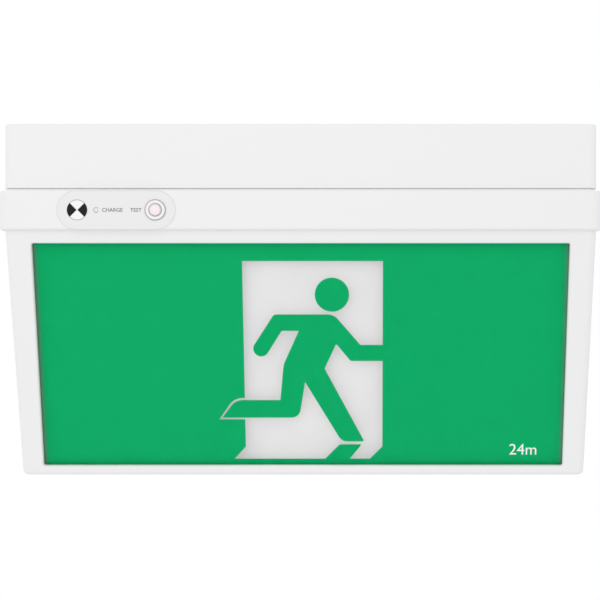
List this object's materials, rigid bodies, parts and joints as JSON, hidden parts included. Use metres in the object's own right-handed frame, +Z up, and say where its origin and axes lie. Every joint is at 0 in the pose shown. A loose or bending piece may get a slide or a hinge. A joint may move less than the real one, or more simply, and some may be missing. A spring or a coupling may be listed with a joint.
{
  "type": "emergency exit light",
  "caption": "Ceiling-fixed emergency exit light: gear housing over a V-shaped cover with a green running-figure legend, test button and charge light.",
  "frame": {"origin": "centre of the ceiling face, midway between the two fixing slots", "axes": "+X along the sign to the right as the legend is read, the legend faces -Y, +Z up into the ceiling"},
  "size_m": [0.352, 0.0794, 0.2089],
  "materials": {
    "white_polycarbonate": "satin moulded",
    "clear_acrylic": "polished clear",
    "green_ink": "screen print",
    "opal_acrylic": "opal sheet",
    "white_abs": "moulded",
    "reflector_film": "matt white sheet",
    "zinc_steel": "zinc plated",
    "spring_steel": "bright rolled",
    "white_steel": "powder coat",
    "board_laminate": "solder mask on glass laminate",
    "white_board": "white solder mask",
    "lamp_phosphor": "phosphor under silicone",
    "battery_sleeve": "shrink sleeve",
    "soft_grommet": "moulded",
    "nylon": "natural nylon",
    "ferrite": "sintered core with taped coil",
    "capacitor_sleeve": "printed sleeve left plain",
    "relay_case": "moulded case",
    "fuse_glass": "glass tube with plated caps",
    "terminal_plastic": "moulded",
    "label_film": "satin polyester film",
    "white_print": "film",
    "black_print": "film",
    "button_plastic": "pale moulded cap",
    "bezel_plastic": "moulded ring",
    "clear_pipe": "clear light pipe",
    "lamp_epoxy": "diffused epoxy",
    "switch_body": "moulded",
    "red_insulation": "wire insulation",
    "white_insulation": "wire insulation",
    "brown_insulation": "wire insulation"
  },
  "bodies": {
    "housing": {"gear_housing": "white_polycarbonate", "cable_grommet": "soft_grommet", "gear_tray": "white_steel", "tray_screws": "zinc_steel", "lamp_board": "white_board", "lamps": "lamp_phosphor", "battery_pack": "battery_sleeve", "battery_clips": "spring_steel", "driver_board": "board_laminate", "board_standoffs": "nylon", "board_screws": "zinc_steel", "transformer": "ferrite", "capacitors": "capacitor_sleeve", "relay": "relay_case", "mains_fuse": "fuse_glass", "board_headers": "nylon", "terminal_block": "terminal_plastic", "terminal_screws": "zinc_steel", "indicator_bracket": "zinc_steel", "indicator_board": "board_laminate", "test_switch": "switch_body", "charge_lamp": "lamp_epoxy", "grip_springs": "spring_steel", "battery_lead": "red_insulation", "lamp_lead": "white_insulation", "indicator_lead": "white_insulation", "mains_lead": "brown_insulation"},
    "cover": {"cover_frame": "white_polycarbonate", "legend_lens": "clear_acrylic", "legend_print": "green_ink", "spacer_frame": "white_abs", "diffuser_panel": "opal_acrylic", "retaining_strips": "zinc_steel", "retainer_screws": "zinc_steel", "reflector_sheet": "reflector_film", "control_label": "label_film", "marker_disc": "white_print", "marker_quarters": "black_print", "button_bezel": "bezel_plastic", "button_guide": "nylon", "button_spring": "spring_steel", "light_pipe": "clear_pipe"},
    "button": {"test_button": "button_plastic"}
  },
  "joints": [
    {"name": "cover_slide", "type": "slide", "parent": "housing", "child": "cover", "axis": [0, 0, -1], "range_m": [0, 0.03]},
    {"name": "test_button_press", "type": "slide", "parent": "cover", "child": "button", "axis": [0, 1, 0], "range_m": [0, 0.0012], "stiffness_N_per_m": 1500}
  ]
}
